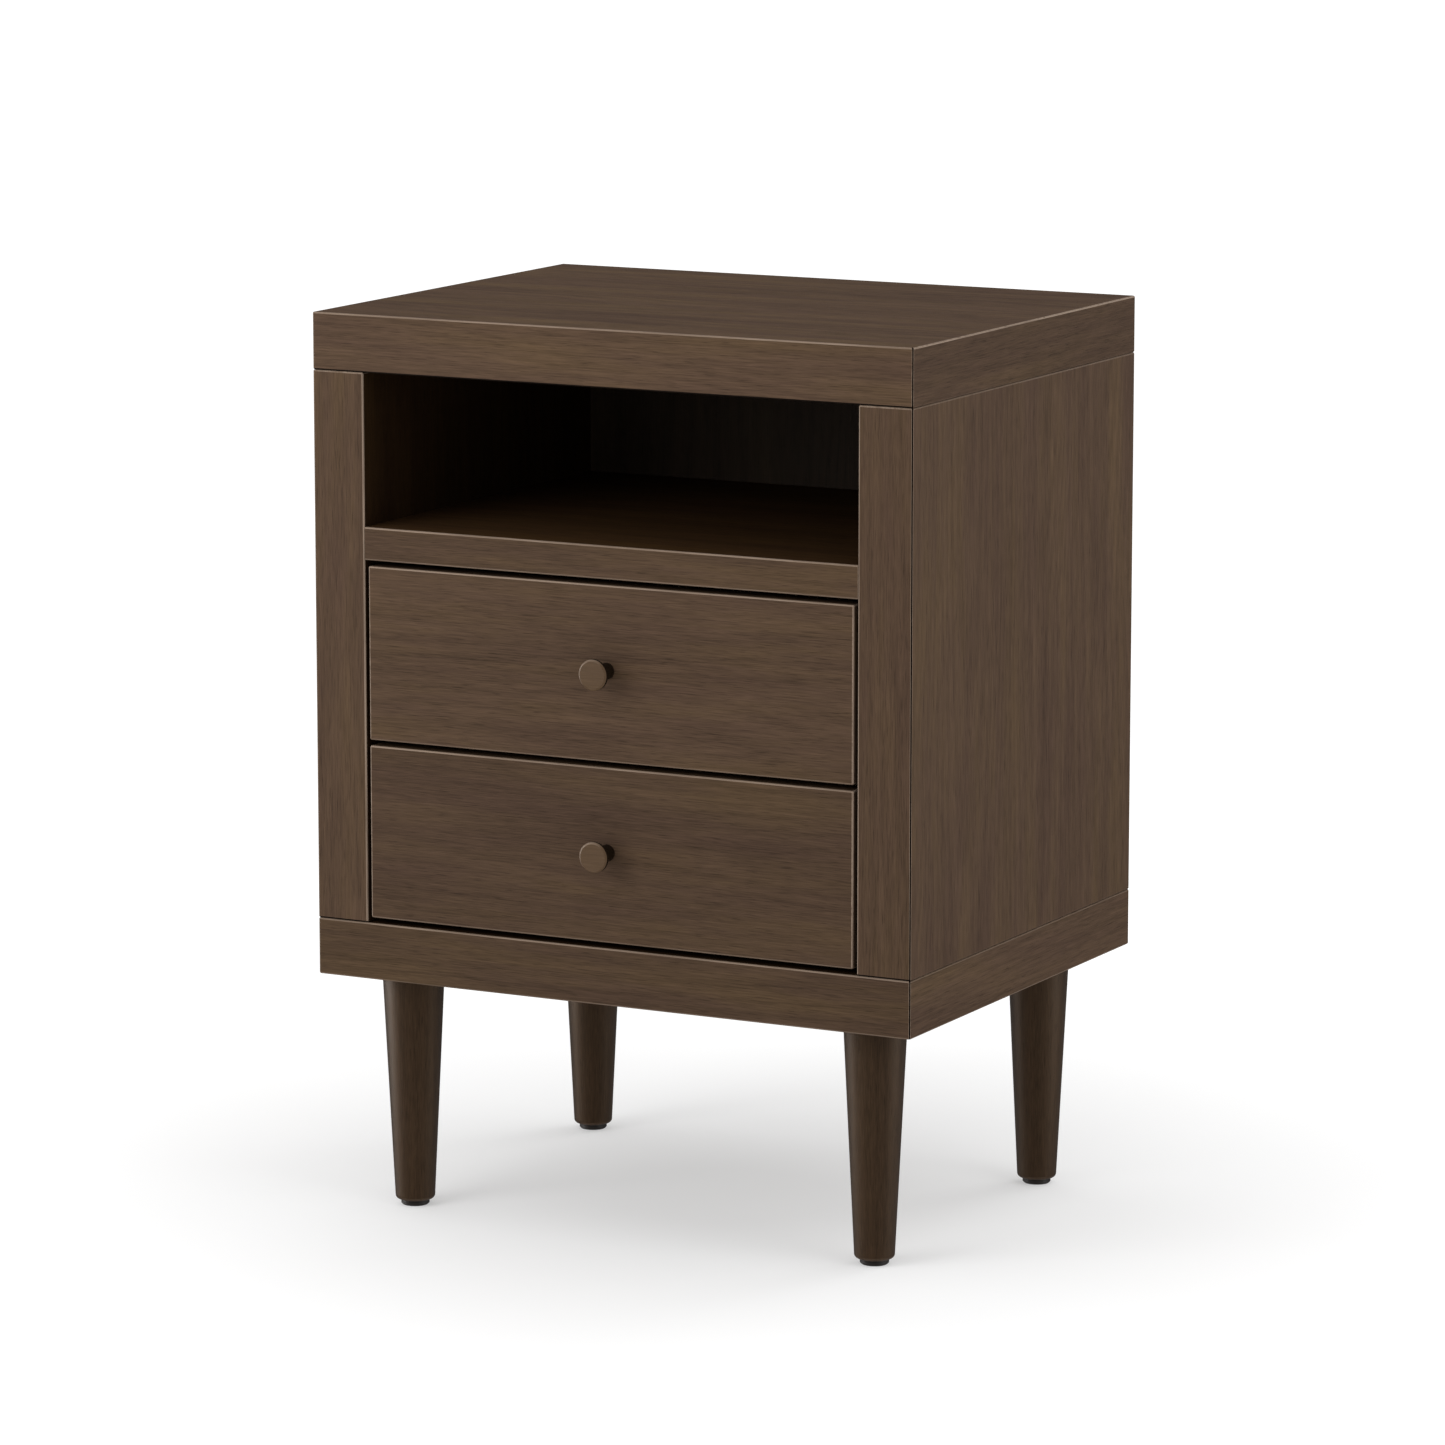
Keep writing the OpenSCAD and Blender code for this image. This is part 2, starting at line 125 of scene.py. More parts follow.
# How pale a board's rounded edges are, from rubbing and painted highlight together: 0 is as the face, 1 is
# the pale mix of bare wood and painted highlight, and below 0 is painted shade. The first four are the edges
# under and over a joint, at the front or back and at the sides: painted highlight on the upward edges under
# a joint, and painted shade on the downward edge over one at the front or back. Then come the walls of a
# seam, in painted shade, a free upper edge along a side, with more painted highlight, and a free lower edge,
# with less. Other free edges have 1, and those of the shelf have SHELF_WEAR_AND_HIGHLIGHT_SCALE times as
# much
UNDER_JOINT_WEAR_AND_HIGHLIGHT = 0.9
UNDER_JOINT_SIDE_WEAR_AND_HIGHLIGHT = 0.4
OVER_JOINT_PAINTED_SHADE = -0.9
OVER_JOINT_SIDE_WEAR_AND_HIGHLIGHT = 0.1
SEAM_PAINTED_SHADE = -0.9
UPPER_SIDE_EDGE_WEAR_AND_HIGHLIGHT = 1.3
LOWER_EDGE_WEAR_AND_HIGHLIGHT = 0.45
SHELF_WEAR_AND_HIGHLIGHT_SCALE = 1.3
# A slanted face this deep in a board's box is a wall of a seam or a bore. A face whose normal is this near
# an axis is flat, and one with this much of an axis in its normal leans that way
SEAM_DEPTH = 0.5 * MM
FLAT_ON = 0.995
LEANS = 0.1
# Which faces of a leg and of a knob take the pale edge mix, as the least and most that their normals have of
# the axis
LEG_ROUNDING = (0.25, 0.98)
KNOB_CHAMFER_LEAN = (-0.95, -0.3)
# Every sheet of veneer comes from its own place in this many metres of wood, picked by a seed. These are
# the first seeds of the case's boards, the back board, the drawer fronts, the legs, the knobs and the
# boxes, and how many seeds a box has to itself
SHEET_SPREAD = 6
CASE_SEED = 11
BACK_SEED = 16
FRONT_SEED = 21
LEG_SEED = 31
KNOB_SEED = 41
BOX_SEED = 51
SEEDS_A_BOX = 10
# Growth rings: how far their middle weaves sideways and in depth, the width of wood after which the figure
# mirrors and where in it the middle lies, how far the cut sinks in a metre along the grain, and the depth
# at which it turns back
RING_WEAVE = 50 * MM
RING_WEAVE_DEPTH = 30 * MM
RING_LEAF = 110 * MM
RING_MIDDLE = 50 * MM
RING_SLANT = 0.035
RING_DEPTH = 50 * MM
# How much rougher a face inside the case is, and how much smoother a pale edge
DULL_ROUGHNESS = 0.3
RUBBED_GLOSS = 0.14
# Colours: what a lacquer reflects, on veneer and on turned legs, the pale mix of bare wood and painted
# highlight on an edge, and a warm tint of painted bounce light on faces inside the case
WHITE = (1, 1, 1)
AMBER = (1, 0.72, 0.50)
RUBBED_AND_HIGHLIGHT = (0.27, 0.202, 0.153)
WARM_BOUNCE_TINT = (1.15, 0.95, 0.62)
# How light each board's wood is: partly its own tone, and partly painted shade, darker towards the bottom
# and on the right
TONE_AND_PAINTED_SHADE = {"top": 1.07, "base": 0.86, "left": 0.99, "right": 0.95, "shelf": 0.94, "upper": 0.98, "lower": 0.89}
# Studio: the floor's radius, place and reflectance, how much lighter its palest spots are, how much it glows
# under the object, less there as a painted shadow, and away from it, the distances between which that grows,
# and how bright the sky is as light, in reflections and to the camera
FLOOR_R = 30
FLOOR_SEGMENTS = 96
FLOOR_Z = -0.2 * MM
FLOOR_TONE = 0.60
FLOOR_SPOTS = 1.01
FLOOR_GLOW_IN_PAINTED_SHADOW = 0.33
FLOOR_GLOW_FAR = 0.64
PAINTED_SHADOW_REACH = (0.08, 0.95)
SKY_LIGHT = 0.80
SKY_GLOSS = 0.20
SKY_SEEN = 1.0
# Softboxes, as azimuth and elevation in degrees, distance, size, and share of full light. The lights do
# the lighting, and the cards only show in reflections
LIGHTS = {
    "key": (-27, 22, 1.6, 0.9, 0.31),
    "fill": (75, 30, 2.0, 1.0, 0.12),
    "rim": (155, 25, 1.9, 0.8, 0.14),
}
CARDS = {
    "left card": (-70, -3, 1.6, 0.9, 0.80),
    "right card": (102, -3, 1.6, 0.7, 0.50),
}
# Camera: its sensor and lens in millimetres, azimuth and elevation in degrees, distance, and its aim from
# the middle of the case
SENSOR = 36
LENS = 166.95
CAMERA_AZIMUTH = 27.67
CAMERA_ELEVATION = 9.94
CAMERA_DISTANCE = 4.701
AIM_OFFSET = (0, -8.5 * MM, 23.1 * MM)


# ---- Meshes ----

def object_from(bm, name):
    """A new object in the scene, with the bmesh as its mesh."""
    mesh = bpy.data.meshes.new(name)
    bm.to_mesh(mesh)
    bm.free()
    piece = bpy.data.objects.new(name, mesh)
    bpy.context.scene.collection.objects.link(piece)
    return piece


def rounded_box(name, lo, hi, radius, square=()):
    """A box from lo to hi with its edges rounded, except round its square faces, given as (axis, sign)."""
    bm = bmesh.new()
    bmesh.ops.create_cube(bm, size=1)
    free = [e for e in bm.edges if not any(all(v.co[a] * side > 0 for v in e.verts) for a, side in square)]
    for v in bm.verts:
        v.co = Vector(lo[i] if v.co[i] < 0 else hi[i] for i in range(3))
    bmesh.ops.bevel(bm, geom=free, offset=radius, segments=EDGE_STEPS, profile=0.5, affect="EDGES")
    return object_from(bm, name)


def prism(name, outline, bottom, top):
    """A closed outline in x and y, pushed up from bottom to top."""
    bm = bmesh.new()
    face = bm.faces.new([bm.verts.new((x, y, bottom)) for x, y in outline])
    pushed = bmesh.ops.extrude_face_region(bm, geom=[face])["geom"]
    for v in pushed:
        if isinstance(v, bmesh.types.BMVert):
            v.co.z = top
    bmesh.ops.recalc_face_normals(bm, faces=bm.faces[:])
    return object_from(bm, name)


def lathe(name, outline, base, axis):
    """Turns an outline of (radius, distance) about the line from base along axis."""
    turn = Vector((0, 0, 1)).rotation_difference(Vector(axis)).to_matrix()
    bm = bmesh.new()
    rings = []
    for radius, distance in outline:
        count = 1 if radius == 0 else TURNED_SEGMENTS
        angles = [2 * math.pi * i / count for i in range(count)]
        points = [Vector((radius * math.cos(a), radius * math.sin(a), distance)) for a in angles]
        rings.append([bm.verts.new(base + turn @ p) for p in points])
    for a, b in zip(rings, rings[1:]):
        for i in range(TURNED_SEGMENTS):
            j = (i + 1) % TURNED_SEGMENTS
            corners = [a[i % len(a)], a[j % len(a)], b[j % len(b)], b[i % len(b)]]
            bm.faces.new(list(dict.fromkeys(corners)))
    bmesh.ops.recalc_face_normals(bm, faces=bm.faces[:])
    return object_from(bm, name)


def arc(centre, radius, start, end, steps):
    """Points of an arc in an outline, with its angles in degrees from the radius direction."""
    angles = [math.radians(start + (end - start) * i / steps) for i in range(steps + 1)]
    return [(centre[0] + radius * math.cos(a), centre[1] + radius * math.sin(a)) for a in angles]


def closed_copy(node):
    """A CAD node's mesh with its split corners joined, as one closed cutter."""
    bm = bmesh.new()
    bm.from_mesh(frame["nodes"][node].data)
    bmesh.ops.remove_doubles(bm, verts=bm.verts[:], dist=WELD)
    bmesh.ops.dissolve_limit(bm, angle_limit=FLAT, verts=bm.verts[:], edges=bm.edges[:])
    return object_from(bm, node + ".cutter")


def combine(piece, cutter, operation):
    """Cuts the piece with the cutter, or keeps only what both fill, and removes the cutter."""
    change = piece.modifiers.new(operation.lower(), "BOOLEAN")
    change.operation = operation
    change.solver = "EXACT"
    change.object = cutter
    bpy.context.view_layer.update()
    shape = bpy.data.meshes.new_from_object(piece.evaluated_get(bpy.context.evaluated_depsgraph_get()))
    piece.modifiers.clear()
    piece.data = shape
    bpy.data.objects.remove(cutter)


def tidy_mesh(piece):
    """Removes the slivers and loose corners that a cut leaves."""
    bm = bmesh.new()
    bm.from_mesh(piece.data)
    bmesh.ops.remove_doubles(bm, verts=bm.verts[:], dist=SLIVER)
    bmesh.ops.dissolve_degenerate(bm, edges=bm.edges[:], dist=SLIVER)
    loose = [v for v in bm.verts if not v.link_faces]
    bmesh.ops.delete(bm, geom=loose, context="VERTS")
    bm.to_mesh(piece.data)
    bm.free()


def smooth(piece):
    """Smooth shading that keeps flat faces flat and hard edges hard."""
    piece.data.polygons.foreach_set("use_smooth", [True] * len(piece.data.polygons))
    piece.data.set_sharp_from_angle(angle=SHARP)
    weighted = piece.modifiers.new("flat faces stay flat", "WEIGHTED_NORMAL")
    weighted.keep_sharp = True


# ---- Grain and finish, kept on each face corner ----

def edge_wear_and_painted_light(face, lo, hi, joints=()):
    """How pale a face of a board from lo to hi is from rubbing and painted highlight, and below 0 how dark
    it is as painted shade in a seam, a bore or over a joint, with the faces at its joints given as (axis,
    sign).
    """
    if max(map(abs, face.normal)) > FLAT_ON:
        return 0
    depth = min(min(face.center[i] - lo[i], hi[i] - face.center[i]) for i in range(3))
    if depth > SEAM_DEPTH:
        return SEAM_PAINTED_SHADE
    if not any(face.normal[axis] * side > LEANS for axis, side in joints):
        if face.normal.z < -LEANS:
            return LOWER_EDGE_WEAR_AND_HIGHLIGHT
        return UPPER_SIDE_EDGE_WEAR_AND_HIGHLIGHT if face.normal.z > LEANS and abs(face.normal.x) > LEANS else 1
    on_side = abs(face.normal.x) > abs(face.normal.y)
    if face.normal.z < 0:
        return OVER_JOINT_SIDE_WEAR_AND_HIGHLIGHT if on_side else OVER_JOINT_PAINTED_SHADE
    return UNDER_JOINT_SIDE_WEAR_AND_HIGHLIGHT if on_side else UNDER_JOINT_WEAR_AND_HIGHLIGHT


def mark_finish_and_painted_light(piece, seed, grain, wear_and_light, tone=1.0, solid=False, shades=None):
    """Writes how the wood lies and how it is finished, with painted light and shade.

    grain is the axis that the grain runs along on the faces that look along X, Y and Z. A veneered
    face gets its own sheet of wood, picked by seed, and a solid piece is one block. shades gives the
    (tone, 1 where the face is rougher and takes a warm tint of painted bounce light) of faces that look
    along an (axis, sign); these are mostly painted light and shade. wear_and_light(face) is how pale a face
    is from rubbing and painted highlight, and below 0 how dark it is as painted shade, on the scale of the
    edge constants.
    """
    mesh = piece.data
    corners = np.zeros(len(mesh.loops), np.int32)
    mesh.loops.foreach_get("vertex_index", corners)
    places = np.zeros(len(mesh.vertices) * 3, np.float32)
    mesh.vertices.foreach_get("co", places)
    places = places.reshape(-1, 3)[corners]
    normals = np.array([p.normal for p in mesh.polygons])
    sizes = [p.loop_total for p in mesh.polygons]
    facing = np.abs(normals).argmax(1)
    sign = np.sign(normals[np.arange(len(normals)), facing])
    wear_and_painted_light = np.array([float(wear_and_light(p)) for p in mesh.polygons])
    dull_and_bounce_tint = np.zeros(len(normals))
    sheets = np.random.default_rng(seed).uniform(0, SHEET_SPREAD, (3, 2, 3))
    along = np.array(grain)[facing]
    tones = np.full(len(normals), float(tone))
    for (axis, side), (shade, dullness_and_bounce_tint) in (shades or {}).items():
        turned = (facing == axis) & (sign == side)
        tones[turned] = tone * shade
        dull_and_bounce_tint[turned] = dullness_and_bounce_tint
    facing, sign, along = (np.repeat(values, sizes) for values in (facing, sign, along))
    finish = np.repeat(np.stack([tones, wear_and_painted_light, dull_and_bounce_tint], 1), sizes, 0)
    if solid:
        along = np.full(len(along), grain[0])
        across, deep = (along + 1) % 3, (along + 2) % 3
    else:
        across, deep = 3 - facing - along, facing
    rows = np.arange(len(places))
    laid = np.stack([places[rows, along], places[rows, across], places[rows, deep]], 1)
    if solid:
        laid = laid + sheets[0, 0]
    else:
        laid[:, 2] = 0
        laid = laid + sheets[facing, (sign > 0).astype(int)]
    for name, values in (("grain", laid), ("finish", finish)):
        layer = mesh.attributes.new(name, "FLOAT_VECTOR", "CORNER")
        layer.data.foreach_set("vector", values.astype(np.float32).ravel())


# ---- Shaders ----

class Shader:
    """Adds nodes to one material, so that a recipe reads as a list of layers."""

    def __init__(self, name):
        self.material = bpy.data.materials.new(name)
        self.material.use_nodes = True
        self.nodes = self.material.node_tree.nodes
        self.surface = self.nodes["Principled BSDF"]

    def put(self, socket, value):
        if isinstance(value, bpy.types.NodeSocket):
            self.material.node_tree.links.new(value, socket)
        elif value is not None:
            socket.default_value = value

    def finish(self, **values):
        """Sets sockets of the Principled node, with spaces as underscores."""
        for name, value in values.items():
            self.put(self.surface.inputs[name.replace("_", " ")], value)
        return self.material

    def attribute(self, name):
        node = self.nodes.new("ShaderNodeAttribute")
        node.attribute_name = name
        return node.outputs["Vector"]

    def place(self):
        return self.nodes.new("ShaderNodeTexCoord").outputs["Object"]

    def split(self, vector):
        node = self.nodes.new("ShaderNodeSeparateXYZ")
        self.put(node.inputs[0], vector)
        return node.outputs[0], node.outputs[1], node.outputs[2]

    def scaled(self, vector, scale):
        node = self.nodes.new("ShaderNodeVectorMath")
        node.operation = "MULTIPLY"
        self.put(node.inputs[0], vector)
        self.put(node.inputs[1], scale)
        return node.outputs[0]

    def math(self, operation, a, b=None, clamp=False):
        node = self.nodes.new("ShaderNodeMath")
        node.operation = operation
        node.use_clamp = clamp
        self.put(node.inputs[0], a)
        self.put(node.inputs[1], b)
        return node.outputs[0]

    def total(self, start, *terms):
        """start plus each term, where a term is (socket, share) and the socket is taken about 0.5."""
        value = start
        for socket, share in terms:
            part = self.math("MULTIPLY", self.math("SUBTRACT", socket, 0.5), share)
            value = self.math("ADD", part, value)
        return value

    def noise(self, vector, scale, detail=2.0, roughness=0.5):
        """Noise with scale cells a metre along each of the vector's axes."""
        node = self.nodes.new("ShaderNodeTexNoise")
        self.put(node.inputs["Vector"], self.scaled(vector, scale))
        node.inputs["Scale"].default_value = 1
        node.inputs["Detail"].default_value = detail
        node.inputs["Roughness"].default_value = roughness
        return node.outputs["Fac"]

    def cells(self, vector, scale):
        """The distance to the nearest point of a scattered set."""
        node = self.nodes.new("ShaderNodeTexVoronoi")
        self.put(node.inputs["Vector"], self.scaled(vector, scale))
        node.inputs["Scale"].default_value = 1
        return node.outputs["Distance"]

    def window(self, value, low, high):
        """0 at low, 1 at high, and clamped."""
        node = self.nodes.new("ShaderNodeMapRange")
        node.inputs["From Min"].default_value = low
        node.inputs["From Max"].default_value = high
        self.put(node.inputs["Value"], value)
        return node.outputs["Result"]

    def ramp(self, value, stops):
        node = self.nodes.new("ShaderNodeValToRGB")
        band = node.color_ramp
        while len(band.elements) < len(stops):
            band.elements.new(0.5)
        for element, (place, colour) in zip(band.elements, stops):
            element.position = place
            element.color = (*colour, 1)
        self.put(node.inputs["Fac"], value)
        return node.outputs["Color"]

    def tinted(self, colour, value):
        """A colour times a number."""
        node = self.nodes.new("ShaderNodeVectorMath")
        node.operation = "SCALE"
        self.put(node.inputs[0], colour)
        self.put(node.inputs["Scale"], value)
        return node.outputs[0]

    def blend(self, colour, other, share):
        """A colour that turns into the other one as share goes from 0 to 1."""
        node = self.nodes.new("ShaderNodeMixRGB")
        self.put(node.inputs["Fac"], share)
        self.put(node.inputs["Color1"], (*colour, 1) if isinstance(colour, tuple) else colour)
        self.put(node.inputs["Color2"], (*other, 1))
        return node.outputs["Color"]

    def bump(self, height, distance):
        node = self.nodes.new("ShaderNodeBump")
        node.inputs["Distance"].default_value = distance
        self.put(node.inputs["Height"], height)
        return node.outputs["Normal"]


def growth_rings(s, laid, spacing):
    """Plain-sawn figure: rings cut at a slant, so that they close into long pointed arches."""
    along, across, deep = s.split(laid)
    wander = s.noise(laid, (2.2, 7, 7), 2.0)
    sideways = s.math("ADD", across, s.math("MULTIPLY", wander, RING_WEAVE))
    sideways = s.math("SUBTRACT", s.math("PINGPONG", sideways, RING_LEAF), RING_MIDDLE)
    sunk = s.math("ADD", s.math("MULTIPLY", along, RING_SLANT), deep)
    sunk = s.math("PINGPONG", sunk, RING_DEPTH)
    depth = s.math("ADD", sunk, s.math("MULTIPLY", wander, RING_WEAVE_DEPTH))
    squares = s.math("ADD", s.math("POWER", sideways, 2.0), s.math("POWER", depth, 2.0))
    phase = s.math("MULTIPLY", s.math("SQRT", squares), 2 * math.pi / spacing)
    return s.math("ADD", s.math("MULTIPLY", s.math("SINE", phase), 0.5), 0.5)


def lacquered_wood(name, hues, figure, streaks, pores, edge_paleness, gloss):
    """Open-pored wood under a satin lacquer, laid by the piece's grain and finish attributes.

    hues are linear colours from plum to gold, figure, streaks and pores are how strongly each
    shows, edge_paleness is the share of the pale mix of bare wood and painted highlight on an edge, and
    gloss is its (roughness, specular level, tint of what it reflects).
    """
    s = Shader(name)
    laid = s.attribute("grain")
    tone, wear_and_light, dull_and_bounce_tint = s.split(s.attribute("finish"))
    fibre = s.noise(laid, (55, 1650, 1650), 2.0, 0.6)
    fine = s.noise(laid, (24, 820, 820), 3.0, 0.72)
    broad = s.noise(laid, (9, 250, 250), 4.0, 0.72)
    bands = s.noise(laid, (2.2, 38, 38), 5.0, 0.62)
    rings = growth_rings(s, laid, 6.2 * MM)
    pits = s.window(s.noise(laid, (75, 1500, 1500), 1.0, 0.4), 0.60, 0.70)
    # Edges turn pale from rubbing and painted highlight
    wear_and_painted_light = s.math("MULTIPLY", wear_and_light, s.window(broad, 0.15, 0.6))
    value = s.total(1.0, (fibre, 1.8 * streaks), (fine, 1.6 * streaks), (broad, 0.12 * streaks),
                    (bands, 0.9 * streaks), (rings, figure))
    value = s.math("SUBTRACT", value, s.math("MULTIPLY", pits, pores))
    # Values below 0 darken seams, bores and the edges over joints: painted shade
    value = s.math("MULTIPLY", value, s.math("ADD", wear_and_light, 1.0, clamp=True))
    patches = s.noise(laid, (4.5, 36, 36), 4.0, 0.62)
    hue = s.total(0.5, (patches, 2.8), (bands, 0.7), (broad, -0.3), (fine, -0.5))
    colour = s.ramp(hue, [(0.0, hues[0]), (0.5, hues[1]), (1.0, hues[2])])
    # tone paints light and shade onto whole faces, and the warm tint on faces inside the case is painted
    # bounce light
    colour = s.tinted(colour, s.math("MULTIPLY", value, tone))
    colour = s.scaled(colour, s.blend(WHITE, WARM_BOUNCE_TINT, dull_and_bounce_tint))
    colour = s.blend(colour, RUBBED_AND_HIGHLIGHT, s.math("MULTIPLY", wear_and_painted_light, edge_paleness, clamp=True))
    roughness, level, tint = gloss
    rough = s.total(roughness, (fine, 0.18), (fibre, 0.12))
    rough = s.math("ADD", rough, s.math("MULTIPLY", dull_and_bounce_tint, DULL_ROUGHNESS))
    rough = s.math("SUBTRACT", rough, s.math("MULTIPLY", wear_and_painted_light, RUBBED_GLOSS), clamp=True)
    height = s.math("SUBTRACT", s.total(0.5, (fibre, 0.5), (fine, 0.6)), s.math("MULTIPLY", pits, 0.8))
    return s.finish(Base_Color=colour, Roughness=rough, Specular_IOR_Level=level, Specular_Tint=(*tint, 1),
                    Normal=s.bump(height, 0.05 * MM))


def walnut_veneer():
    hues = [(0.0672, 0.0406, 0.0271), (0.0741, 0.0457, 0.0286), (0.0810, 0.0506, 0.0284)]
    return lacquered_wood("walnut veneer", hues, 0.10, 0.50, 0.24, 0.88, (0.62, 0.03, WHITE))


def turned_walnut():
    # The legs' wood is darker than the veneer: partly its own colour, and partly painted shade from the case
    # above
    hues = [(0.0318, 0.0172, 0.0091), (0.0342, 0.0189, 0.0099), (0.0375, 0.0210, 0.0107)]
    return lacquered_wood("turned walnut", hues, 0.12, 0.62, 0.22, 0.12, (0.46, 0.36, AMBER))


def knob_walnut():
    hues = [(0.0790, 0.0480, 0.0280), (0.0833, 0.0505, 0.0275), (0.0876, 0.0535, 0.0275)]
    return lacquered_wood("knob walnut", hues, 0.04, 0.25, 0.10, 0.95, (0.42, 0.10, WHITE))


def back_board():
    hues = [(0.024, 0.015, 0.009), (0.027, 0.017, 0.010), (0.031, 0.020, 0.011)]
    return lacquered_wood("stained back board", hues, 0.14, 0.40, 0.20, 0.2, (0.62, 0.14, WHITE))


def beech():
    """Pale beech with its short darker rays."""
    s = Shader("beech")
    laid = s.attribute("grain")
    tone, wear_and_light, _ = s.split(s.attribute("finish"))
    fine = s.noise(laid, (18, 520, 520), 2.5, 0.6)
    bands = s.noise(laid, (1.5, 42, 42), 2.0, 0.5)
    rings = growth_rings(s, laid, 5.0 * MM)
    rays = s.window(s.noise(laid, (420, 1700, 1700), 0.0), 0.63, 0.70)
    value = s.total(1.0, (fine, 0.28), (bands, 0.3), (rings, 0.08))
    value = s.math("SUBTRACT", value, s.math("MULTIPLY", rays, 0.22))
    # Edges turn paler from rubbing and painted highlight, and bores and dovetail walls darker as painted
    # shade
    value = s.math("ADD", value, s.math("MULTIPLY", wear_and_light, 0.12))
    hue = s.total(0.5, (bands, 1.8), (fine, 0.6))
    colour = s.ramp(hue, [(0.0, (0.56, 0.38, 0.22)), (0.5, (0.61, 0.43, 0.26)), (1.0, (0.66, 0.48, 0.30))])
    height = s.math("SUBTRACT", fine, s.math("MULTIPLY", rays, 0.5))
    return s.finish(Base_Color=s.tinted(colour, s.math("MULTIPLY", value, tone)),
                    Roughness=s.total(0.48, (fine, 0.25)), Specular_IOR_Level=0.3,
                    Normal=s.bump(height, 0.04 * MM))


def plywood():
    """Birch-faced drawer bottom, its grain across the drawer."""
    s = Shader("birch plywood")
    laid = s.place()
    fine = s.noise(laid, (16, 420, 420), 2.5, 0.6)
    bands = s.noise(laid, (1.2, 22, 22), 2.0, 0.5)
    rings = growth_rings(s, laid, 9.0 * MM)
    flecks = s.window(s.noise(laid, (160, 1500, 1500), 0.0), 0.66, 0.74)
    value = s.total(1.0, (fine, 0.22), (bands, 0.25), (rings, 0.04))
    value = s.math("SUBTRACT", value, s.math("MULTIPLY", flecks, 0.15))
    hue = s.total(0.5, (bands, 1.6), (rings, 0.15))
    colour = s.ramp(hue, [(0.0, (0.55, 0.38, 0.22)), (0.5, (0.60, 0.44, 0.27)), (1.0, (0.66, 0.50, 0.33))])
    return s.finish(Base_Color=s.tinted(colour, value), Roughness=s.total(0.55, (fine, 0.3)),
                    Specular_IOR_Level=0.3, Normal=s.bump(fine, 0.04 * MM))


def dowel_beech():
    """Dry beech rod, with fine lines along it."""
    s = Shader("dowel beech")
    laid = s.place()
    fine = s.noise(laid, (900, 900, 60), 2.0, 0.6)
    mottle = s.noise(laid, (120, 120, 40), 2.0, 0.5)
    colour = s.ramp(s.total(0.5, (mottle, 1.4)), [(0.0, (0.50, 0.34, 0.19)), (1.0, (0.66, 0.48, 0.30))])
    return s.finish(Base_Color=s.tinted(colour, s.total(1.0, (fine, 0.3))),
                    Roughness=s.total(0.7, (mottle, 0.3)), Normal=s.bump(fine, 0.05 * MM))


def rolled_steel():
    """Zinc-plated strip, brushed along its length, with a faint film of grease."""
    s = Shader("rolled steel")
    laid = s.place()
    lines = s.noise(laid, (1800, 24, 1800), 2.0, 0.6)
    film = s.noise(laid, (60, 22, 60), 3.0, 0.55)
    spots = s.cells(laid, (260, 260, 260))
    value = s.total(1.0, (lines, 0.22), (film, 0.25), (spots, 0.06))
    colour = s.ramp(film, [(0.25, (0.46, 0.47, 0.49)), (0.75, (0.60, 0.60, 0.60))])
    rough = s.total(0.42, (film, 0.25), (lines, 0.12))
    return s.finish(Base_Color=s.tinted(colour, value), Metallic=0.95, Roughness=rough,
                    Normal=s.bump(lines, 0.004 * MM))


def zinc_plate():
    """Bright zinc on screws, bolts and nuts, duller in patches."""
    s = Shader("zinc plate")
    laid = s.place()
    patches = s.noise(laid, (900, 900, 900), 3.0, 0.6)
    grit = s.noise(laid, (6000, 6000, 6000), 1.0, 0.5)
    colour = s.ramp(patches, [(0.3, (0.50, 0.49, 0.44)), (0.7, (0.68, 0.68, 0.66))])
    return s.finish(Base_Color=s.tinted(colour, s.total(1.0, (grit, 0.15))), Metallic=0.95,
                    Roughness=s.total(0.32, (patches, 0.35), (grit, 0.1)), Normal=s.bump(grit, 0.008 * MM))


def polished_balls():
    """Hardened balls with a smear of grease."""
    s = Shader("bearing balls")
    smear = s.noise(s.place(), (700, 700, 700), 2.0, 0.5)
    colour = s.ramp(smear, [(0.3, (0.62, 0.62, 0.62)), (0.7, (0.76, 0.76, 0.78))])
    rough = s.total(0.12, (smear, 0.2))
    return s.finish(Base_Color=colour, Metallic=1.0, Roughness=rough, Normal=s.bump(smear, 0.002 * MM))


def rubber():
    s = Shader("bumper rubber")
    skin = s.noise(s.place(), (2600, 2600, 2600), 2.0, 0.6)
    dust = s.noise(s.place(), (140, 140, 140), 3.0, 0.6)
    colour = s.ramp(dust, [(0.3, (0.011, 0.011, 0.011)), (0.8, (0.030, 0.029, 0.027))])
    return s.finish(Base_Color=colour, Roughness=s.total(0.75, (dust, 0.3)), Normal=s.bump(skin, 0.02 * MM))


def glide_plastic():
    """Dark nylon pad, scuffed paler near the floor."""
    s = Shader("glide plastic")
    laid = s.place()
    _, _, height = s.split(laid)
    grain = s.noise(laid, (3000, 3000, 3000), 2.0, 0.5)
    scuffs = s.noise(laid, (500, 500, 2500), 3.0, 0.65)
    low = s.window(height, 2.0 * MM, 0.0)
    scuffed = s.math("MULTIPLY", low, s.window(scuffs, 0.45, 0.7))
    colour = s.ramp(scuffed, [(0.0, (0.016, 0.011, 0.008)), (1.0, (0.038, 0.031, 0.026))])
    rough = s.math("ADD", s.total(0.5, (grain, 0.2)), s.math("MULTIPLY", scuffed, 0.25))
    return s.finish(Base_Color=colour, Roughness=rough, Specular_IOR_Level=0.35,
                    Normal=s.bump(grain, 0.01 * MM))


